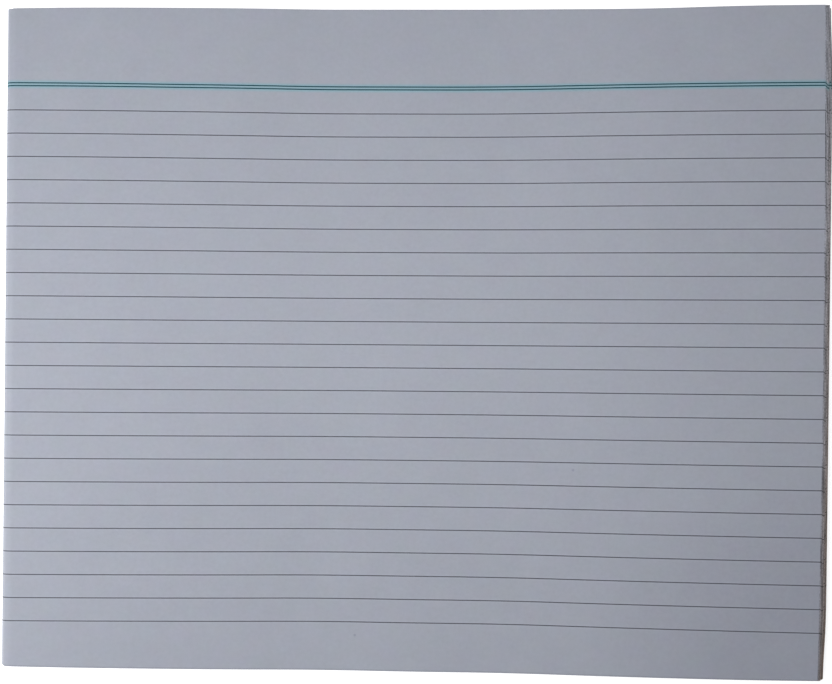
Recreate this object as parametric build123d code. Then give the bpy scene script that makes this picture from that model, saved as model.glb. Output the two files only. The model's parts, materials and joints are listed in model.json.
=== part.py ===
from build123d import *
import os
from math import degrees, pi, radians, sin

# A quire of ruled loose-leaf paper: double sheets, each folded once and laid one inside another.
# X runs along the rules from the fold to the open fore-edge, Y runs up the page and Z is up.
# Lengths are in millimetres and angles in degrees.

# The paper: sheets all cut to one size, then folded in half.
sheet_count = 24
paper_thickness = 0.075
sheet_length = 560.0
sheet_height = 228.5

# The fold: the innermost sheet is left with a hairline of air in its crease.
crease_radius = 0.05

# The warp: a level strip in the middle, a hollow arc on each side of it that rises to the
# steepest slope, then a shoulder arc that eases off towards the fold and the fore-edge.
flat_half = 14.0
hollow_radius = 500.0
steepest_slope = 4.1
shoulder_radius = 2000.0
fold_run = 138.3

# The trim: the head and tail were cut a little out of square with the fold, and the sheets
# have slid along the fold since, most of all those half way in.
out_of_square = 0.2
middle_slip = -0.6
inner_slip = 0.3

half_thickness = crease_radius + sheet_count * paper_thickness
fold_turn = degrees((fold_run - flat_half - radians(steepest_slope) * hollow_radius) / shoulder_radius)


def rising_side(level, side, shoulder_turn):
    """A hollow arc and its shoulder arc, out from the level strip, at a level above the mid-plane."""
    foot = (side * flat_half, half_thickness + level)
    hollow = JernArc(foot, (side, 0), hollow_radius - level, side * steepest_slope)
    shoulder = JernArc(hollow @ 1, hollow % 1, shoulder_radius + level, -side * shoulder_turn)
    return hollow, shoulder


def edge_turn(level, leaf_length):
    """The turn of the fore-edge shoulder that gives a leaf at this level its full length."""
    to_last_shoulder = (
        radians(fold_turn) * (shoulder_radius + level)
        + 2 * radians(steepest_slope) * (hollow_radius - level)
        + 2 * flat_half
    )
    return degrees((leaf_length - to_last_shoulder) / (shoulder_radius + level))


def sheet_outline(inner, outer):
    """The section of a folded sheet that bends round its fold between an inner and an outer radius.

    Both leaves keep their length in the middle of the paper's thickness. A wider fold takes
    more of the sheet, so each sheet falls short of the one inside it at the fore-edge.
    """
    leaf_length = (sheet_length - pi * (inner + outer) / 2) / 2
    edges = []
    for leaf in (1, -1):
        last_turn = edge_turn(leaf * (inner + outer) / 2, leaf_length)
        corners = []
        for radius in (inner, outer):
            level = leaf * radius
            to_fold = rising_side(level, -1, fold_turn)
            to_edge = rising_side(level, 1, last_turn)
            level_strip = Line(to_fold[0] @ 0, to_edge[0] @ 0)
            edges += [*to_fold, level_strip, *to_edge]
            corners.append(to_edge[1] @ 1)
            if leaf == 1:
                edges.append(JernArc(to_fold[1] @ 1, to_fold[1] % 1, radius, 180))
        edges.append(Line(*corners))
    return edges


def slip(number):
    """How far a sheet has slid along the fold, from none in the outermost sheet."""
    depth = (sheet_count - number) / (sheet_count - 1)
    return middle_slip * sin(pi * depth) + inner_slip * depth


def folded_sheet(number):
    """Sheet 1 is the innermost. Each sheet bends round the one inside it and touches it all over."""
    inner = crease_radius + (number - 1) * paper_thickness
    section = Plane.XZ * make_face(sheet_outline(inner, inner + paper_thickness))
    blank = extrude(section, sheet_height, both=True)
    between_cuts = Rot(0, 0, out_of_square) * Box(sheet_length, sheet_height, sheet_height)
    return Pos(0, slip(number), 0) * (blank & between_cuts)


sheets = {f"folded_sheet_{number:02d}": folded_sheet(number) for number in range(1, sheet_count + 1)}

# The origin is on the underside, below the middle of the whole quire's outline.
middle = Compound(list(sheets.values())).bounding_box().center()
to_origin = Pos(-middle.X, -middle.Y, 0)

os.makedirs("parts", exist_ok=True)
for name, sheet in sheets.items():
    export_step(to_origin * sheet, f"parts/{name}.step")
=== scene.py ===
# %% [markdown]
# A quire of ruled paper, seen from above.
# The real thing is two dozen double sheets, each folded once and laid one inside another. The
# measured model already has every sheet at its real size, so it is loaded first as a fixed frame
# and never moved. What is made here is how the paper looks: its soft cockles, the printed rules,
# the fanned fore-edge, the finish and the light.

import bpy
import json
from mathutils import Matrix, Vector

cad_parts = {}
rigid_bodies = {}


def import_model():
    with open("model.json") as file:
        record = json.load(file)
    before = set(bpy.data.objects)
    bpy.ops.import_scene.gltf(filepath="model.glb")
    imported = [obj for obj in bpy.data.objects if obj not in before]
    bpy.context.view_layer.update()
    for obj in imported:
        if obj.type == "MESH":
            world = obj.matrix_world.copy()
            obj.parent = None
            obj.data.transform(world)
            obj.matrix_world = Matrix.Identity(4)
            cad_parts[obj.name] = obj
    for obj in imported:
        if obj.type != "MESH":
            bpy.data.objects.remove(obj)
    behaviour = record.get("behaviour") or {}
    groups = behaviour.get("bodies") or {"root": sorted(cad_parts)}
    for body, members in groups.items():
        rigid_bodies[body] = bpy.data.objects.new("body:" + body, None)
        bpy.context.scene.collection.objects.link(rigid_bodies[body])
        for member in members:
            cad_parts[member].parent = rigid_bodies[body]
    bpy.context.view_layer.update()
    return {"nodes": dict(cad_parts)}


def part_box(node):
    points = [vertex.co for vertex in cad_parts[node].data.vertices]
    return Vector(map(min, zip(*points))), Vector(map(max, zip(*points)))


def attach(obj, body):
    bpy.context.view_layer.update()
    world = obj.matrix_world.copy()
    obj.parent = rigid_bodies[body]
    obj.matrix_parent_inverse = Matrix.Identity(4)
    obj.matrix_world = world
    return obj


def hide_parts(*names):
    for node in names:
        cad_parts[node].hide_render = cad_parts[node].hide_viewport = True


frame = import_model()

# %% [markdown]
# Everything is in metres, because that is what Blender's own units mean, but paper is measured
# in millimetres. So each size is written as a count of MM. The arrays of numpy let one line of
# arithmetic place a whole row of points, which keeps the shape formulas short enough to read.

# %% Units and libraries
import json
from math import pi, radians, sin, tan

import bpy
import numpy as np
from mathutils import Vector

MM = 0.001

# %% [markdown]
# The measured nodes are named folded_sheet_01, the innermost, to folded_sheet_24, the outermost.
# They are counted in the frame, so that their number isn't written down a second time here.
# Each sheet is a 560 by 228.5 mm blank of thin writing paper. A breath of air is left between
# neighbours, because two surfaces at exactly the same place would flicker when they are drawn.

# %% The blank sheets
node_names = sorted(frame["nodes"])
SHEET_COUNT = len(node_names)
THICKNESS = 0.075 * MM
AIR = 0.004 * MM
SHEET_LENGTH = 560.0 * MM
SHEET_HEIGHT = 228.5 * MM
CREASE_RADIUS = 0.05 * MM
HALF_QUIRE = CREASE_RADIUS + SHEET_COUNT * THICKNESS


def fold_radius(number):
    """The radius at which the middle of a sheet's thickness goes round the fold."""
    return CREASE_RADIUS + (number - 0.5) * THICKNESS


print(SHEET_COUNT, "sheets, folds from", fold_radius(1) / MM, "to", fold_radius(SHEET_COUNT) / MM, "mm")

# %% [markdown]
# The quire has taken a gentle warp from lying about: a level strip in the middle, then on each
# side a hollow arc that rises, and a long shoulder arc that eases off again. A spline through a
# few points would look much the same, but arcs have one great advantage for paper. Sheets that lie
# on each other are offset curves, and an arc's offset is simply an arc with another radius, so
# two dozen sheets nest exactly however closely they lie.

# %% The warp
FLAT_HALF = 14.0 * MM
HOLLOW_RADIUS = 500.0 * MM
STEEPEST = radians(4.1)
SHOULDER_RADIUS = 2000.0 * MM
FOLD_RUN = 138.3 * MM
FOLD_TURN = (FOLD_RUN - FLAT_HALF - STEEPEST * HOLLOW_RADIUS) / SHOULDER_RADIUS


def on_warp(run, level):
    """Where a point comes to lie that is run along the paper from the warp's middle.

    Level is the height above the middle of the quire's thickness. Gives x, z and the slope.
    """
    out = np.abs(run)
    hollow = np.clip(out - FLAT_HALF, 0, STEEPEST * (HOLLOW_RADIUS - level))
    shoulder = np.clip(out - FLAT_HALF - hollow, 0, None)
    hollow_turn = hollow / (HOLLOW_RADIUS - level)
    slope = hollow_turn - shoulder / (SHOULDER_RADIUS + level)
    x = np.minimum(out, FLAT_HALF) + (HOLLOW_RADIUS - level) * np.sin(hollow_turn)
    x = x + (SHOULDER_RADIUS + level) * (np.sin(hollow_turn) - np.sin(slope))
    z = HALF_QUIRE + level + (HOLLOW_RADIUS - level) * (1 - np.cos(hollow_turn))
    z = z + (SHOULDER_RADIUS + level) * (np.cos(slope) - np.cos(hollow_turn))
    return np.sign(run) * x, z, np.sign(run) * slope


def run_to_fold(level):
    """How far along the paper the fold begins from the warp's middle."""
    return FLAT_HALF + STEEPEST * (HOLLOW_RADIUS - level) + FOLD_TURN * (SHOULDER_RADIUS + level)


height_at_fold = float(on_warp(np.array([FOLD_RUN]), HALF_QUIRE)[1][0])
print("the top page rises to", round(height_at_fold / MM, 2), "mm at the fold")

# %% [markdown]
# One sheet's section is a single line walked from the top leaf's fore-edge, round the fold and
# back to the bottom leaf's fore-edge. All sheets are cut to one length, but an outer sheet
# spends more of it on going round the fold, so it falls short at the fore-edge. That is the creep
# that gives such a quire its stepped edge. Every sheet gets stations at the same fractions
# of each stretch, so that the facets of neighbours stay parallel and never cross.

# %% One sheet's section
EDGE_STRETCH = 6.0 * MM
FOLD_STRETCH = 2.4 * MM
# Facets beside the fold, on the shoulder, the hollow, the level strip, the hollow, the shoulder and the edge
LEAF_FACETS = (6, 14, 6, 4, 6, 13, 8)
FOLD_FACETS = 14


def leaf_runs(level, leaf_length):
    """Stations along one leaf, from the fold to the fore-edge, measured from the warp's middle."""
    hollow_end = FLAT_HALF + STEEPEST * (HOLLOW_RADIUS - level)
    fold = -run_to_fold(level)
    fore_edge = leaf_length + fold
    ends = [fold, fold + FOLD_STRETCH, -hollow_end, -FLAT_HALF, FLAT_HALF, hollow_end, fore_edge - EDGE_STRETCH,
            fore_edge]
    stretches = [np.linspace(start, end, facets + 1)[:-1] for start, end, facets in zip(ends, ends[1:], LEAF_FACETS)]
    return np.concatenate(stretches + [[fore_edge]])


def section(number):
    """The stations of a folded sheet: place, outward direction, level, run and length along it."""
    radius = fold_radius(number)
    leaf_length = (SHEET_LENGTH - pi * radius) / 2
    rows = []
    for leaf in (1, -1):
        runs = leaf_runs(leaf * radius, leaf_length)
        x, z, slope = on_warp(runs, leaf * radius)
        along = SHEET_LENGTH / 2 - leaf * (pi * radius / 2 + runs + run_to_fold(leaf * radius))
        level = np.full_like(x, leaf * radius)
        stations = np.column_stack([x, z, -leaf * np.sin(slope), leaf * np.cos(slope), level, runs, along])
        rows.append(stations[::-1] if leaf == 1 else stations)
    turn = np.linspace(0, pi, FOLD_FACETS + 1)[1:-1]
    x, z, slope = (value[0] for value in on_warp(np.array([-run_to_fold(0.0)]), 0.0))
    up = np.array([-np.sin(slope), np.cos(slope)])
    left = np.array([-np.cos(slope), -np.sin(slope)])
    outward = np.outer(np.cos(turn), up) + np.outer(np.sin(turn), left)
    place = np.array([x, z]) + radius * outward
    along = SHEET_LENGTH / 2 + radius * (turn - pi / 2)
    level = radius * np.cos(turn)
    run = np.full_like(turn, -run_to_fold(0.0))
    fold = np.column_stack([place, outward, level, run, along])
    return np.vstack([rows[0], fold, rows[1]])


outermost = section(SHEET_COUNT)
print(len(outermost), "stations, flat length", round((outermost[-1, 6] - outermost[0, 6]) / MM, 2), "mm")

# %% [markdown]
# The frame's origin is below the middle of the whole quire's outline, which is a little to the
# right of the warp's own middle. The shift is read from the outermost node's box, so the paper
# made here falls exactly on the measured paper. The head and tail were trimmed slightly out of
# square, and the sheets have slid a little along the fold, most of all those half way in.

# %% Where the sheets lie
OUT_OF_SQUARE = radians(0.2)
MIDDLE_SLIP = -0.6 * MM
INNER_SLIP = 0.3 * MM
low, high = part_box(node_names[-1])
warp_middle = low.x - float((outermost[:, 0] + outermost[:, 2] * THICKNESS / 2).min())
height_middle = (low.y + high.y) / 2 - tan(OUT_OF_SQUARE) * (low.x + high.x - 2 * warp_middle) / 2


def slip(number):
    """How far a sheet has slid along the fold, from none in the outermost sheet."""
    depth = (SHEET_COUNT - number) / (SHEET_COUNT - 1)
    return MIDDLE_SLIP * sin(pi * depth) + INNER_SLIP * depth


print("warp's middle at x", round(warp_middle / MM, 3), "mm, y", round(height_middle / MM, 3), "mm")

# %% [markdown]
# Real paper is never as smooth as its measured shape. It cockles as it takes up damp, and the cockles
# are long, low and soft. They could be sculpted or simulated as cloth, but a handful of listed waves is
# lighter, and it can be kept to what the paper does: the top page rises
# most, the bottom leaf stays on the table, and both die out at the fold, which holds them down.
# Here the head margin ripples a little, and the middle of the tail edge stands over a millimetre up.
# Beside the fold the top leaf dips instead, because the crease was pressed, and that
# slope is what catches the window's light as a pale band down the left side.

# %% The cockles
# Of each wave and swell: its place along the page and its rise, in millimetres, and of a wave its reach too
HEAD_WAVES = ((-108.0, 0.22, 34.0), (-52.0, 0.62, 34.0), (-14.0, 0.30, 24.0), (98.0, 0.22, 34.0))
TAIL_SWELLS = ((-45.0, 0.66), (5.0, 1.20), (55.0, 0.42))
SWELL_REACH = 36.0 * MM
HEAD_DEPTH = 46.0 * MM
TAIL_DEPTH = 40.0 * MM
HELD_BY_FOLD = 22.0 * MM
HELD_BY_EDGE = 16.0 * MM
FOLD_DIP = 0.18 * MM
DIP_REACH = 2.0 * MM


def ease(value):
    """A smooth step from 0 to 1."""
    value = np.clip(value, 0, 1)
    return value * value * (3 - 2 * value)


def cockle(run, down, number):
    """How far the top page stands above its measured shape."""
    height = np.zeros(np.broadcast(run, down).shape)
    for middle, rise, reach in HEAD_WAVES:
        near = np.exp(-((run - middle * MM) / (reach * MM)) ** 2 * 2)
        height = height + rise * MM * near * np.exp(-(down / HEAD_DEPTH) ** 2)
    for middle, rise in TAIL_SWELLS:
        near = np.exp(-((run - middle * MM) / SWELL_REACH) ** 2)
        height = height + rise * MM * near * np.exp(-((SHEET_HEIGHT - down) / TAIL_DEPTH) ** 2)
    fore_edge = (SHEET_LENGTH - pi * fold_radius(number)) / 2 - run_to_fold(0.0)
    return height * ease((run + run_to_fold(0.0)) / HELD_BY_FOLD) * ease((fore_edge - run) / HELD_BY_EDGE)


def fold_dip(run, level):
    """How far the top leaf sinks towards the pressed crease."""
    away = np.clip((run + run_to_fold(level)) / DIP_REACH, 0, 1)
    return FOLD_DIP * (1 - away) ** 2


all_down = np.linspace(0, SHEET_HEIGHT, 60)[None, :]
everywhere = cockle(outermost[:, 5:6], all_down, SHEET_COUNT)
print("cockles up to", round(float(everywhere.max() / MM), 2), "mm")

# %% [markdown]
# At the fore-edge nothing holds the leaves, so they part a little as they fall towards the table.
# They don't part evenly: they cling in bundles, with wider gaps under the top leaf and between the
# bundles. Those few gaps are what the eye reads as separate sheets. A bundle has also slid
# as one, out of the fold and along it, so it shows as a step of its own and the rules printed on
# it don't quite meet those of the next. The outer sheets' edge is cut a little bowed, which
# leaves the steps narrowest half way down, and at both corners they have been knocked back.

# %% The fanned fore-edge
LEAF_COUNT = 2 * SHEET_COUNT
FAN_REACH = 42.0 * MM
SLIDE_POWER = 4
FALL_POWER = 2
FALL_AT_TAIL = 0.3
# Of each bundle: its outermost sheet, the gap above it, how far it has slid out and up the fold, in millimetres
BUNDLES = ((23, 0.30, 0.30, 0.0), (16, 0.20, 0.30, -0.2), (9, 0.14, 0.25, 0.7), (4, 0.10, 0.18, -0.6))
LOWER_GAPS = {30: 0.08 * MM, 41: 0.05 * MM}
EDGE_BOW = 0.70 * MM
KNOCKED_BACK = 0.8
CORNER_LENGTH = 14.0 * MM
STRAY_GAP = 0.006
STRAY_SLIDE = 0.03
rng = np.random.default_rng(24)
gaps = rng.uniform(0.0, STRAY_GAP, LEAF_COUNT) * MM
slid_out = rng.uniform(-STRAY_SLIDE, STRAY_SLIDE, SHEET_COUNT + 1) * MM
slid_up = np.zeros(SHEET_COUNT + 1)
for first, gap, out, up in BUNDLES:
    gaps[SHEET_COUNT - first] += gap * MM
    slid_out[:first + 1] += out * MM
    slid_up[:first + 1] = up * MM
for leaf_below, gap in LOWER_GAPS.items():
    gaps[leaf_below] += gap
gaps[0] = 0.0
slid_out[SHEET_COUNT] = 0.0
drops = np.cumsum(gaps)
print("the innermost sheet has slid out", round(float(slid_out[1] / MM), 2), "mm")
print("the bottom leaf falls", round(float(drops[-1] / MM), 2), "mm")

# %% [markdown]
# Now the print. A lithographed ruling has a double teal line under the head margin and then 23
# grey feint lines, 8 mm apart. The same lines stand on all four pages of a sheet, straight across
# the fold. Rows of the sheet's mesh are laid where the lines run, so that a line can follow
# every cockle exactly.

# %% Where the lines are printed
HEADER_LINES = (26.70 * MM, 27.69 * MM)
FIRST_RULE = 36.04 * MM
RULE_PITCH = 8.0 * MM
RULE_COUNT = 23
HEAD_ROWS = 6
TAIL_ROWS = 5
rules = [FIRST_RULE + RULE_PITCH * line for line in range(RULE_COUNT)]
head_rows = list(np.linspace(0, HEADER_LINES[0], HEAD_ROWS + 1)[:-1])
tail_rows = list(np.linspace(rules[-1], SHEET_HEIGHT, TAIL_ROWS + 1)[1:])
between_rows = [rule + RULE_PITCH / 2 for rule in rules[:-1]]
mesh_rows = np.array(sorted(head_rows + list(HEADER_LINES) + rules + between_rows + tail_rows))
tail_margin = SHEET_HEIGHT - rules[-1]
print(len(mesh_rows), "rows across a sheet, last rule", round(tail_margin / MM, 2), "mm above the tail")

# %% [markdown]
# The knife didn't cut quite straight either. Head and tail are a little shorter towards the fold
# and the fore-edge, and the head has one shallow hollow on the right. The lines stay where they
# are, and only the bare margins above and below them are drawn in.

# %% The bowed trim
HEAD_BOW_AT_FOLD = 1.2 * MM
HEAD_BOW_AT_EDGE = 0.55 * MM
HEAD_HOLLOW = 0.8 * MM
HOLLOW_PLACE = 80.0 * MM
HOLLOW_REACH = 35.0 * MM
TAIL_BOW_AT_FOLD = 1.1 * MM
TAIL_BOW_AT_EDGE = 0.6 * MM


def drawn_in(run, down):
    """How far a point lies further down the page than on a straight-cut sheet."""
    away = (run / run_to_fold(0.0)) ** 2
    head = np.where(run < 0, HEAD_BOW_AT_FOLD, HEAD_BOW_AT_EDGE) * away
    head = head + HEAD_HOLLOW * np.exp(-((run - HOLLOW_PLACE) / HOLLOW_REACH) ** 2)
    tail = np.where(run < 0, TAIL_BOW_AT_FOLD, TAIL_BOW_AT_EDGE) * away
    in_head = np.clip(1 - down / HEADER_LINES[0], 0, 1)
    in_tail = np.clip((down - rules[-1]) / tail_margin, 0, 1)
    return head * in_head - tail * in_tail


drawn = float(drawn_in(outermost[:, 5], 0.0).max())
print("the head is drawn in by up to", round(drawn / MM, 2), "mm")

# %% [markdown]
# With the section, the cockles, the fan and the rows, any point of any sheet can be placed by one
# function. The sheet itself and the ink on it both use it, so they can't drift apart. The two
# arguments that matter are how far down the page the point is, and how far out from the middle of the
# paper's thickness it stands.

# %% Place points on a sheet


def on_sheet(number, down, out):
    """Points of a sheet for every station, at a distance down the page and out from its middle."""
    stations = section(number)
    x, z, way_x, way_z, level, run, along = (stations[:, column, None] for column in range(7))
    down = np.asarray(down)[None, :]
    fore_edge = (SHEET_LENGTH - pi * fold_radius(number)) / 2 - run_to_fold(0.0)
    at_edge = np.clip((run - fore_edge + FAN_REACH) / FAN_REACH, 0, None)
    leaf = np.where(level > 0, SHEET_COUNT - number, SHEET_COUNT + number - 1)
    share = (level + HALF_QUIRE) / (2 * HALF_QUIRE)
    tail_share = down / SHEET_HEIGHT - 0.5
    bow = EDGE_BOW * (1 - (2 * tail_share) ** 2) * number / SHEET_COUNT
    to_corner = np.minimum(down, SHEET_HEIGHT - down) / CORNER_LENGTH
    slid = slid_out[number] * (1 - KNOCKED_BACK * np.exp(-to_corner ** 2))
    x = x + (slid + bow) * at_edge ** SLIDE_POWER
    lift = share * (cockle(run, down, number) - fold_dip(run, level))
    lift = lift - drops[leaf] * at_edge ** FALL_POWER * (1 + FALL_AT_TAIL * tail_share)
    y = height_middle + SHEET_HEIGHT / 2 - down - drawn_in(run, down)
    y = y + tan(OUT_OF_SQUARE) * x + slip(number) + slid_up[number]
    points = np.empty((len(stations), down.shape[1], 3))
    points[..., 0] = warp_middle + x + way_x * out
    points[..., 1] = y
    points[..., 2] = z + lift + way_z * out
    return points, along


placed = on_sheet(SHEET_COUNT, mesh_rows, THICKNESS / 2)[0].reshape(-1, 3)
print("the top sheet spans", np.round((placed.max(axis=0) - placed.min(axis=0)) / MM, 2), "mm")

# %% [markdown]
# A sheet of paper is a closed skin: an outer face, an inner face 0.075 mm away and four cut edges.
# Solidify would do this, but building both faces from the same formula keeps the gap between
# sheets exact. One function joins two grids of points into such a skin, and another turns the
# arrays into a Blender mesh. It is shaded smooth, but left sharp where the cut edges turn.

# %% Skins and meshes
SHARP_ANGLE = radians(50)


def skin(points_out, points_in):
    """Vertices and faces of a closed skin between two grids of points of the same size."""
    rows, columns = points_out.shape[:2]
    vertices = np.vstack([points_out.reshape(-1, 3), points_in.reshape(-1, 3)])
    index = np.arange(rows * columns).reshape(rows, columns)
    corner = [index[:-1, :-1], index[1:, :-1], index[1:, 1:], index[:-1, 1:]]
    outer = np.stack([part.ravel() for part in corner], axis=1)
    inner = outer[:, ::-1] + rows * columns
    ring = np.concatenate([index[0, :-1], index[:-1, -1], index[-1, :0:-1], index[:0:-1, 0]])
    following = np.roll(ring, -1)
    rim = np.stack([ring, following, following + rows * columns, ring + rows * columns], axis=1)
    return vertices, np.vstack([outer, inner, rim])


def make_mesh_piece(name, vertices, faces):
    """A smooth-shaded object from arrays of vertices and four-sided faces."""
    mesh = bpy.data.meshes.new(name)
    mesh.vertices.add(len(vertices))
    mesh.vertices.foreach_set("co", vertices.astype(np.float32).ravel())
    mesh.loops.add(faces.size)
    mesh.loops.foreach_set("vertex_index", faces.astype(np.int32).ravel())
    mesh.polygons.add(len(faces))
    mesh.polygons.foreach_set("loop_start", np.arange(0, faces.size, 4, dtype=np.int32))
    mesh.update(calc_edges=True)
    mesh.validate()
    mesh.shade_smooth()
    mesh.set_sharp_from_angle(angle=SHARP_ANGLE)
    piece = bpy.data.objects.new(name, mesh)
    bpy.context.scene.collection.objects.link(piece)
    return piece


print("a sheet's skin has", 2 * len(outermost) * len(mesh_rows), "points")

# %% [markdown]
# Each point also stores where it was on the flat blank, along and down, and which sheet it is on,
# as a named attribute. The paper's material reads it, so the print lies on the sheet like real ink. A UV
# map could hold the first two as well, but an attribute keeps them in metres and has room for the third.

# %% Build a sheet


def store(mesh, name, values):
    """Keeps a vector for each vertex under a name that a material can read."""
    attribute = mesh.attributes.new(name, "FLOAT_VECTOR", "POINT")
    attribute.data.foreach_set("vector", values.astype(np.float32).ravel())


def make_sheet(number):
    """One folded sheet, with the places of its points on the flat blank."""
    half = (THICKNESS - AIR) / 2
    outside, along = on_sheet(number, mesh_rows, half)
    inside, _ = on_sheet(number, mesh_rows, -half)
    piece = make_mesh_piece(f"paper_sheet_{number:02d}", *skin(outside, inside))
    flat = np.empty(outside.shape)
    flat[..., 0] = along
    flat[..., 1] = mesh_rows[None, :]
    flat[..., 2] = number
    flat = flat.reshape(-1, 3)
    store(piece.data, "flat_place", np.vstack([flat, flat]))
    return piece


# %% [markdown]
# The finish comes next. It could be painted in Blender's node editor, but nodes made in code can
# use the very numbers that shaped the sheet. A few small helpers keep that readable: one turns a
# colour as it is read on a screen into the linear light that shaders work in, and the others
# add a node, do one step of arithmetic, carry a value to another range or multiply two colours.

# %% Helpers for materials


def linear(red, green, blue):
    """A screen colour from 0 to 255 as linear light."""
    parts = [value / 255 for value in (red, green, blue)]
    return tuple(part / 12.92 if part <= 0.04045 else ((part + 0.055) / 1.055) ** 2.4 for part in parts) + (1.0,)


def add_node(tree, kind, inputs=None, **settings):
    """A shader node with its settings, and its inputs linked or set by name or number."""
    node = tree.nodes.new(kind)
    for setting, value in settings.items():
        setattr(node, setting, value)
    for socket, value in (inputs or {}).items():
        if isinstance(value, bpy.types.NodeSocket):
            tree.links.new(value, node.inputs[socket])
        else:
            node.inputs[socket].default_value = value
    return node


def arithmetic(tree, operation, *values, clamp=False):
    """The result of one arithmetic step on numbers or sockets."""
    return add_node(tree, "ShaderNodeMath", dict(enumerate(values)), operation=operation, use_clamp=clamp).outputs[0]


def remap(tree, value, old_range, new_range, smooth=False):
    """A value carried from one range to another and held to the new one."""
    inputs = {"Value": value, "From Min": old_range[0], "From Max": old_range[1], "To Min": new_range[0],
              "To Max": new_range[1]}
    kind = "SMOOTHSTEP" if smooth else "LINEAR"
    return add_node(tree, "ShaderNodeMapRange", inputs, interpolation_type=kind).outputs[0]


def within(tree, distance, reach, softness):
    """1 where a distance is under reach, falling to 0 over the softness round it."""
    return remap(tree, distance, (reach - softness / 2, reach + softness / 2), (1.0, 0.0), smooth=True)


def multiply_colour(tree, share, first, second):
    """The first colour times the second, by a share from 0 to 1."""
    node = add_node(tree, "ShaderNodeMix", data_type="RGBA", blend_type="MULTIPLY")
    sockets = {socket.identifier: socket for socket in node.inputs}
    for name, value in (("Factor_Float", share), ("A_Color", first), ("B_Color", second)):
        if isinstance(value, bpy.types.NodeSocket):
            tree.links.new(value, sockets[name])
        else:
            sockets[name].default_value = value
    return node.outputs["Result"]


def new_material(name):
    """An empty node material with its output and shader."""
    material = bpy.data.materials.new(name)
    material.use_nodes = True
    tree = material.node_tree
    return material, tree, tree.nodes["Principled BSDF"]


# %% [markdown]
# Uncoated writing paper is matt, a little cloudy when light comes through the pulp, and full
# of fine fibre. So its colour is one cool grey-white, multiplied by faint clouds at three scales.
# The clouds are measured on the flat blank, in metres, which is why their scales look
# large: a scale of 600 repeats about every 1.7 mm.

# %% The paper's colour
PAPER = linear(162, 166, 178)
# Of each kind of cloud: its scale, its detail, and its darkest and lightest tone
FORMATION = (620.0, 3.0, (0.965, 1.035))
CLOUD = (130.0, 2.0, (0.98, 1.02))
STAIN = (38.0, 1.0, (0.985, 1.015))
CLOUD_ROUGHNESS = 0.6
NOISE_RANGE = (0.25, 0.75)
paper, tree, shader = new_material("ruled_paper_finish")
flat_place = add_node(tree, "ShaderNodeAttribute", attribute_name="flat_place")
split = add_node(tree, "ShaderNodeSeparateXYZ", {0: flat_place.outputs["Vector"]})
along, down, sheet = split.outputs


def pulp_noise(scale, detail, roughness=0.5):
    """A noise that lies on the flat blank."""
    inputs = {"Vector": flat_place.outputs["Vector"], "Scale": scale, "Detail": detail, "Roughness": roughness}
    return add_node(tree, "ShaderNodeTexNoise", inputs)


def clouds(scale, detail, tones):
    """A faint pattern of light and dark, as a tone to multiply by, and the noise behind it."""
    noise = pulp_noise(scale, detail, CLOUD_ROUGHNESS)
    return remap(tree, noise.outputs["Fac"], NOISE_RANGE, tones), noise


formation, _ = clouds(*FORMATION)
cloud, _ = clouds(*CLOUD)
stain, stain_noise = clouds(*STAIN)
tone = arithmetic(tree, "MULTIPLY", arithmetic(tree, "MULTIPLY", formation, cloud), stain)
print("the paper's colour in linear light:", [round(part, 3) for part in PAPER[:3]])

# %% [markdown]
# Under a close look the grey isn't one hue: soft patches lean to lilac, blue or green. A noise node
# gives three unrelated values at once as a colour, which is an easy way to tint each
# channel by its own cloud. Kept near 1 it only leans the hue.

# %% Leaning hues
HUE_SCALE = 160.0
HUE_DETAIL = 2.0
HUE_LEAN = 0.07
hue_noise = pulp_noise(HUE_SCALE, HUE_DETAIL)
lean = {0: hue_noise.outputs["Color"], 1: (HUE_LEAN,) * 3, 2: (1 - HUE_LEAN / 2,) * 3}
lean = add_node(tree, "ShaderNodeVectorMath", lean, operation="MULTIPLY_ADD").outputs[0]
toned = add_node(tree, "ShaderNodeVectorMath", {0: lean, "Scale": tone}, operation="SCALE").outputs[0]
colour = multiply_colour(tree, 1.0, toned, PAPER)
print("each channel leans by up to", round(50 * HUE_LEAN, 1), "percent either way")

# %% [markdown]
# The cut edges are painted as well. The head and tail get a grey line a quarter of a millimetre wide,
# painted shade along the cut. At the fore-edge the inner sheets stand out past the top page, and they
# are painted brown, the more so the further they stand out and the nearer the tail. The distance to each
# edge comes straight from the place on the flat blank, and the stored sheet number tells the depth.

# %% Painted shade at head and tail, brown at the fore-edge
# The grey line along head and tail is painted shade of the cut edge.
TRIM_PAINTED_SHADE = (0.93, 0.93, 0.93, 1.0)
TRIM_DEPTH = 0.25 * MM
FORE_EDGE_TONE = linear(206, 176, 144)
FORE_EDGE_DEPTH = 0.8 * MM
FORE_EDGE_SOFTNESS = 0.3 * MM
BROWN_AT_HEAD = 0.3
BROWN_AT_TAIL = 1.0
BROWN_POWER = 0.5
BLOTCHES = (0.8, 0.6)
from_side = arithmetic(tree, "MINIMUM", along, arithmetic(tree, "SUBTRACT", SHEET_LENGTH, along))
from_tail = arithmetic(tree, "SUBTRACT", SHEET_HEIGHT, down)
from_end = arithmetic(tree, "MINIMUM", down, from_tail)
colour = multiply_colour(tree, within(tree, from_end, TRIM_DEPTH, TRIM_DEPTH), colour, TRIM_PAINTED_SHADE)
inwards = arithmetic(tree, "DIVIDE", arithmetic(tree, "SUBTRACT", float(SHEET_COUNT), sheet), SHEET_COUNT - 1.0)
to_tail = arithmetic(tree, "MULTIPLY_ADD", down, (BROWN_AT_TAIL - BROWN_AT_HEAD) / SHEET_HEIGHT, BROWN_AT_HEAD)
browned = arithmetic(tree, "MULTIPLY", arithmetic(tree, "POWER", inwards, BROWN_POWER), to_tail)
blotches = arithmetic(tree, "MULTIPLY_ADD", stain_noise.outputs["Fac"], *BLOTCHES)
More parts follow.
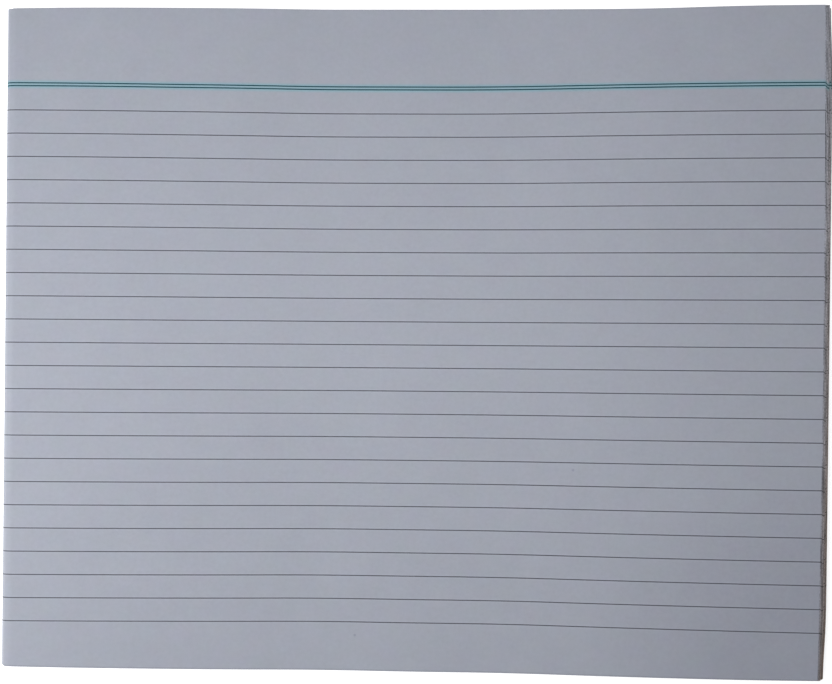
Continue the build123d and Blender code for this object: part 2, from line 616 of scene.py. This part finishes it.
near_edge = within(tree, from_side, FORE_EDGE_DEPTH, FORE_EDGE_SOFTNESS)
toning = arithmetic(tree, "MULTIPLY", near_edge, browned)
toning = arithmetic(tree, "MULTIPLY", toning, blotches, clamp=True)
colour = multiply_colour(tree, toning, colour, FORE_EDGE_TONE)
print("the fore-edge is toned", round(FORE_EDGE_DEPTH / MM, 2), "mm deep")

# %% [markdown]
# A noise that runs along the edge and changes every few sheets streaks the steps light and dark: painted
# light and shade, the lit bands and the shadow lines between bundles of steps. A second one, with short marks
# on single sheets, gives the nicks and crumbs of a cut edge. The top sheet is left out of both. The lower
# corner, by the fore-edge and the tail, is painted darker than the rest.

# %% Painted light and shade on the steps, nicks and a darker corner
# Of the painted streaks of light and shade and of the nicks: how many sheets one spans, its length, and its darkest
# and lightest tone
EDGE_SHADE_STREAKS_AND_NICKS = ((4.2, 14.0 * MM, (0.55, 1.40)), (1.4, 0.7 * MM, (0.70, 1.28)))
MARK_RANGE = (0.35, 0.65)
CORNER_TONE = (0.905, 0.90, 0.915, 1.0)
CORNER_REACH = 55.0 * MM
on_steps = arithmetic(tree, "MULTIPLY", inwards, SHEET_COUNT - 1.0, clamp=True)
on_steps = arithmetic(tree, "MULTIPLY", near_edge, on_steps)
# The first pass paints light and shade in streaks along the steps, the second the nicks.
for sheets_across, mark_length, mark_tones in EDGE_SHADE_STREAKS_AND_NICKS:
    across_sheets = arithmetic(tree, "DIVIDE", sheet, sheets_across)
    along_edge = arithmetic(tree, "DIVIDE", down, mark_length)
    mark_place = add_node(tree, "ShaderNodeCombineXYZ", {0: across_sheets, 1: along_edge}).outputs[0]
    marks = add_node(tree, "ShaderNodeTexNoise", {"Vector": mark_place, "Scale": 1.0, "Detail": 1.0})
    colour = multiply_colour(tree, on_steps, colour, remap(tree, marks.outputs["Fac"], MARK_RANGE, mark_tones))
to_corner = add_node(tree, "ShaderNodeCombineXYZ", {0: from_side, 1: from_tail}).outputs[0]
to_corner = add_node(tree, "ShaderNodeVectorMath", {0: to_corner}, operation="LENGTH").outputs["Value"]
colour = multiply_colour(tree, within(tree, to_corner, CORNER_REACH, CORNER_REACH), colour, CORNER_TONE)
print("the finish has", len(tree.nodes), "nodes so far")

# %% [markdown]
# The lines are printed by arithmetic too. The distance down the page is compared with the nearest
# multiple of the pitch, held to the 23 lines there are, and what lies within half a line's width
# turns to ink. Thin ink on absorbent paper spreads, so its edge is soft. The paper beside a grey
# rule is a shade lighter, and round the teal pair it has a pale tint of the ink.

# %% The printed lines
RULE_WIDTH = 0.33 * MM
HEADER_WIDTH = 0.39 * MM
INK_SPREAD = 0.08 * MM
RULE_INK = linear(86, 88, 96)
HEADER_INK = linear(26, 66, 76)
HALO_TINT = (0.67, 1.05, 1.06, 1.0)
HALO_REACH = 1.5 * MM
BESIDE_RULE = (1.03, 1.03, 1.03, 1.0)
BESIDE_REACH = 0.75 * MM
BESIDE_SOFTNESS = 0.3 * MM
step = arithmetic(tree, "DIVIDE", arithmetic(tree, "SUBTRACT", down, FIRST_RULE), RULE_PITCH)
nearest = arithmetic(tree, "MAXIMUM", arithmetic(tree, "ROUND", step), 0.0)
nearest = arithmetic(tree, "MINIMUM", nearest, RULE_COUNT - 1.0)
rule_distance = arithmetic(tree, "ABSOLUTE", arithmetic(tree, "SUBTRACT", step, nearest))
rule_distance = arithmetic(tree, "MULTIPLY", rule_distance, RULE_PITCH)
header_gaps = [arithmetic(tree, "ABSOLUTE", arithmetic(tree, "SUBTRACT", down, line)) for line in HEADER_LINES]
header_distance = arithmetic(tree, "MINIMUM", *header_gaps)
rule_share = tuple(ink / paper_part for ink, paper_part in zip(RULE_INK, PAPER))
header_share = tuple(ink / paper_part for ink, paper_part in zip(HEADER_INK, PAPER))
printed = (
    (header_distance, HALO_REACH / 2, HALO_REACH, HALO_TINT),
    (rule_distance, BESIDE_REACH, BESIDE_SOFTNESS, BESIDE_RULE),
    (rule_distance, RULE_WIDTH / 2, INK_SPREAD, rule_share),
    (header_distance, HEADER_WIDTH / 2, INK_SPREAD, header_share),
)
for distance, reach, softness, ink_tone in printed:
    colour = multiply_colour(tree, within(tree, distance, reach, softness), colour, ink_tone)
print("rule ink takes the paper to", round(rule_share[1], 2), "of its light")

# %% [markdown]
# Two specks of dirt lie in the top page's lower half. Each is a dot at a place on the flat blank,
# measured from the top leaf's fore-edge and from the head, so it is one distance compared with a radius.

# %% Specks of dirt
SPECKS = ((156.8, 216.6), (82.2, 158.6))
SPECK_RADIUS = 0.42 * MM
SPECK_TONE = (0.80, 0.80, 0.84, 1.0)
for speck_along, speck_down in SPECKS:
    places = {0: flat_place.outputs["Vector"], 1: (speck_along * MM, speck_down * MM, float(SHEET_COUNT))}
    away = add_node(tree, "ShaderNodeVectorMath", places, operation="DISTANCE").outputs["Value"]
    colour = multiply_colour(tree, within(tree, away, SPECK_RADIUS, SPECK_RADIUS), colour, SPECK_TONE)
tree.links.new(colour, shader.inputs["Base Color"])
print(len(SPECKS), "specks")

# %% [markdown]
# Last, the surface. Writing paper is pressed between rollers, so it isn't quite matt: a weak, broad
# shine shows where a lamp stands opposite the eye. The fibres show as a very fine bump, with a
# slower one under it for the felt side of the sheet. Such a tooth is far too fine for geometry.
# The bump's distance is in metres as well, so it stays under a fiftieth of a millimetre.

# %% The paper's surface
# Of the fibres and the felt: the noise's scale, detail and roughness
FIBRE = (2600.0, 3.0, 0.65)
FELT = (520.0, 2.0)
FELT_SHARE = 1.4
TOOTH_STRENGTH = 0.35
TOOTH_HEIGHT = 0.02 * MM
ROUGHNESS_RANGE = (0.57, 0.63)
SHINE_LEVEL = 0.30
fibre = pulp_noise(*FIBRE).outputs["Fac"]
felt = pulp_noise(*FELT).outputs["Fac"]
tooth = arithmetic(tree, "MULTIPLY_ADD", felt, FELT_SHARE, fibre)
bump = add_node(tree, "ShaderNodeBump", {"Height": tooth, "Strength": TOOTH_STRENGTH, "Distance": TOOTH_HEIGHT})
tree.links.new(bump.outputs[0], shader.inputs["Normal"])
tree.links.new(remap(tree, cloud, CLOUD[2], ROUGHNESS_RANGE), shader.inputs["Roughness"])
shader.inputs["Specular IOR Level"].default_value = SHINE_LEVEL
print("the whole finish has", len(tree.nodes), "nodes")

# %% [markdown]
# Now the two dozen sheets are made in a loop. Each one rides on the model's only body, takes
# the paper finish made above, and stands for its measured node, which stays hidden for the physics.

# %% Make the sheets
for number, node_name in enumerate(node_names, start=1):
    sheet_piece = make_sheet(number)
    sheet_piece.data.materials.append(paper)
    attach(sheet_piece, "root")
    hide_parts(node_name)
sheet_pieces = [piece for piece in bpy.data.objects if piece.name.startswith("paper_sheet")]
print(len(sheet_pieces), "sheets,", sum(len(piece.data.polygons) for piece in sheet_pieces), "faces")

# %% [markdown]
# The lines on the two outer pages are what anyone sees of this quire, so there they also lie as thin
# ribbons of ink right over the printed ones, half sunk in the paper and standing a hundredth of a
# millimetre above it. A colour map that is baked from the material can only hold pixels, and a
# line a third of a millimetre wide blurs in it. A ribbon keeps its sharp edge in any viewer.
# Under the bottom leaf the ink is pressed flat against the table, so no ribbon reaches below it.

# %% Ribbons of ink on the outer pages
INK_HEIGHT = 0.010 * MM
INK_ABOVE_TABLE = 0.001 * MM
INK_ROUGHNESS = 0.8
INK_SHINE_LEVEL = 0.25


def ink_ribbons(name, lines, width, ink):
    """One piece that holds a ribbon of ink over each printed line of the outermost sheet."""
    vertices = []
    faces = []
    surface = (THICKNESS - AIR) / 2
    for line in lines:
        edges = [line - width / 2, line + width / 2]
        above, _ = on_sheet(SHEET_COUNT, edges, surface + INK_HEIGHT)
        below, _ = on_sheet(SHEET_COUNT, edges, surface - INK_HEIGHT)
        above[..., 2] = np.maximum(above[..., 2], INK_ABOVE_TABLE)
        ribbon_vertices, ribbon_faces = skin(above, below)
        faces.append(ribbon_faces + sum(len(part) for part in vertices))
        vertices.append(ribbon_vertices)
    piece = make_mesh_piece(name, np.vstack(vertices), np.vstack(faces))
    material, _, ink_shader = new_material(name + "_ink")
    ink_shader.inputs["Base Color"].default_value = ink
    ink_shader.inputs["Roughness"].default_value = INK_ROUGHNESS
    ink_shader.inputs["Specular IOR Level"].default_value = INK_SHINE_LEVEL
    piece.data.materials.append(material)
    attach(piece, "root")
    return piece


feint_lines = ink_ribbons("feint_lines", rules, RULE_WIDTH, RULE_INK)
header_pair = ink_ribbons("header_lines", HEADER_LINES, HEADER_WIDTH, HEADER_INK)
print("ink ribbons:", len(feint_lines.data.polygons) + len(header_pair.data.polygons), "faces")

# %% [markdown]
# The quire rests on a plain pale floor. A white floor could be had by more lamps, but that would
# bleach the paper as well. So the floor glows a little for the camera alone, and it still catches the
# soft shadow. Far away, where no lamp reaches, it glows more, so that no grey band shows below the white sky.

# %% The floor
FLOOR_HALF = 3.0
FLOOR_TONE = (0.80, 0.80, 0.81, 1.0)
FLOOR_ROUGHNESS = 0.9
FLOOR_SHINE_LEVEL = 0.1
# How strongly the floor glows beside the quire and far away, and between which distances this changes
GLOW = (0.66, 0.90)
GLOW_CHANGES = (0.25, 1.10)
WHITE = (1.0, 1.0, 1.0, 1.0)


def seen_directly(tree):
    """1 for what the camera sees itself, in a mirror or through glass, and 0 for light on the object."""
    rays = add_node(tree, "ShaderNodeLightPath").outputs
    seen = arithmetic(tree, "ADD", rays["Is Camera Ray"], rays["Is Glossy Ray"])
    return arithmetic(tree, "ADD", seen, rays["Is Transmission Ray"], clamp=True)


floor_mesh = bpy.data.meshes.new("floor")
floor_corners = [(side * FLOOR_HALF, end * FLOOR_HALF, 0) for side, end in ((-1, -1), (1, -1), (1, 1), (-1, 1))]
floor_mesh.from_pydata(floor_corners, [], [(0, 1, 2, 3)])
floor = bpy.data.objects.new("floor", floor_mesh)
bpy.context.scene.collection.objects.link(floor)
floor_material, floor_tree, floor_shader = new_material("pale_floor")
floor_shader.inputs["Base Color"].default_value = FLOOR_TONE
floor_shader.inputs["Roughness"].default_value = FLOOR_ROUGHNESS
floor_shader.inputs["Specular IOR Level"].default_value = FLOOR_SHINE_LEVEL
spot = add_node(floor_tree, "ShaderNodeTexCoord").outputs["Object"]
away = add_node(floor_tree, "ShaderNodeVectorMath", {0: spot}, operation="LENGTH").outputs["Value"]
glow = remap(floor_tree, away, GLOW_CHANGES, GLOW, smooth=True)
glow = arithmetic(floor_tree, "MULTIPLY", seen_directly(floor_tree), glow)
floor_shader.inputs["Emission Color"].default_value = WHITE
floor_tree.links.new(glow, floor_shader.inputs["Emission Strength"])
floor_mesh.materials.append(floor_material)
print("the floor is", 2 * FLOOR_HALF, "m wide")

# %% [markdown]
# The light falls off from left to right across the page, as it does beside a window. One soft
# square lamp stands low on the left, a smaller one hangs over the page and gives it a faint bright
# middle, and a weak one lifts the upper right corner. A single large lamp would be simpler, but
# it would light the page too evenly. All are kept low enough that the paper renders about as its
# colour is written.

# %% Lamps
QUIRE_MIDDLE = Vector((0.0, 0.0, 5.0 * MM))
# Of each lamp: its place and its side, in metres, and its watts
LAMPS = {
    "window_side": ((-0.480, -0.069, 0.221), 0.160, 1.681),
    "overhead": ((-0.040, 0.017, 0.330), 0.090, 0.424),
    "upper_right": ((0.147, 0.131, 0.150), 0.200, 0.017),
}


def soft_lamp(name, place, side, watts):
    """A square lamp that faces the middle of the quire."""
    light = bpy.data.lights.new(name, "AREA")
    light.shape = "SQUARE"
    light.size = side
    light.energy = watts
    lamp = bpy.data.objects.new(name, light)
    lamp.location = place
    lamp.rotation_euler = (QUIRE_MIDDLE - Vector(place)).to_track_quat("-Z", "Y").to_euler()
    lamp.visible_camera = False
    bpy.context.scene.collection.objects.link(lamp)
    return lamp


for lamp_name, settings in LAMPS.items():
    soft_lamp(lamp_name, *settings)
print(len(LAMPS), "lamps,", round(sum(watts for _, _, watts in LAMPS.values()), 3), "W in all")

# %% [markdown]
# Three low cards beside the table throw light back on the cut edges, as a photographer's white boards
# do. They graze the page, so they add little there. Real boards could be set up and lit, but a weak
# lamp in a board's place gives the same light with less noise. It is left out of mirrors, so that
# it doesn't lay a shine on the page. The world then fills the rest evenly.

# %% Cards and world
WORLD_FILL = 0.26
# Of each card: its place, in metres
CARDS = {"head_card": (0.0, 0.62, 0.08), "tail_card": (-0.12, -0.62, 0.07), "edge_card": (0.66, 0.12, 0.07)}
CARD_SIDE = 0.30
CARD_WATTS = 0.80
for card_name, card_place in CARDS.items():
    soft_lamp(card_name, card_place, CARD_SIDE, CARD_WATTS).visible_glossy = False
world = bpy.data.worlds.new("even_fill")
world.use_nodes = True
bpy.context.scene.world = world
world_tree = world.node_tree
backdrop = world_tree.nodes["Background"]
fill = arithmetic(world_tree, "MULTIPLY_ADD", seen_directly(world_tree), 1.0 - WORLD_FILL, WORLD_FILL)
world_tree.links.new(fill, backdrop.inputs["Strength"])
backdrop.inputs["Color"].default_value = WHITE
print(len(CARDS), "cards, and a world that fills with", WORLD_FILL)

# %% [markdown]
# The photograph was taken by hand, almost straight down, from about 31 cm. Its place and tilt
# were worked out from how the 25 printed lines and the paper's edges run in the picture, so the
# camera is simply put there.

# %% The camera
CAMERA_PLACE = (9.77 * MM, -0.13 * MM, 315.5 * MM)
CAMERA_TILT = (radians(-0.080), radians(1.519), radians(0.616))
SENSOR_WIDTH = 36.0
FOCAL_LENGTH = 38.94
NEAREST_SEEN = 10.0 * MM
camera_data = bpy.data.cameras.new("photo_view")
camera_data.sensor_width = SENSOR_WIDTH
camera_data.lens = FOCAL_LENGTH
camera_data.clip_start = NEAREST_SEEN
camera = bpy.data.objects.new("photo_view", camera_data)
camera.location = CAMERA_PLACE
camera.rotation_euler = CAMERA_TILT
bpy.context.scene.collection.objects.link(camera)
bpy.context.scene.camera = camera
bpy.context.scene.view_settings.view_transform = "Standard"
print("the camera stands", round(CAMERA_PLACE[2] / MM, 1), "mm above the table")
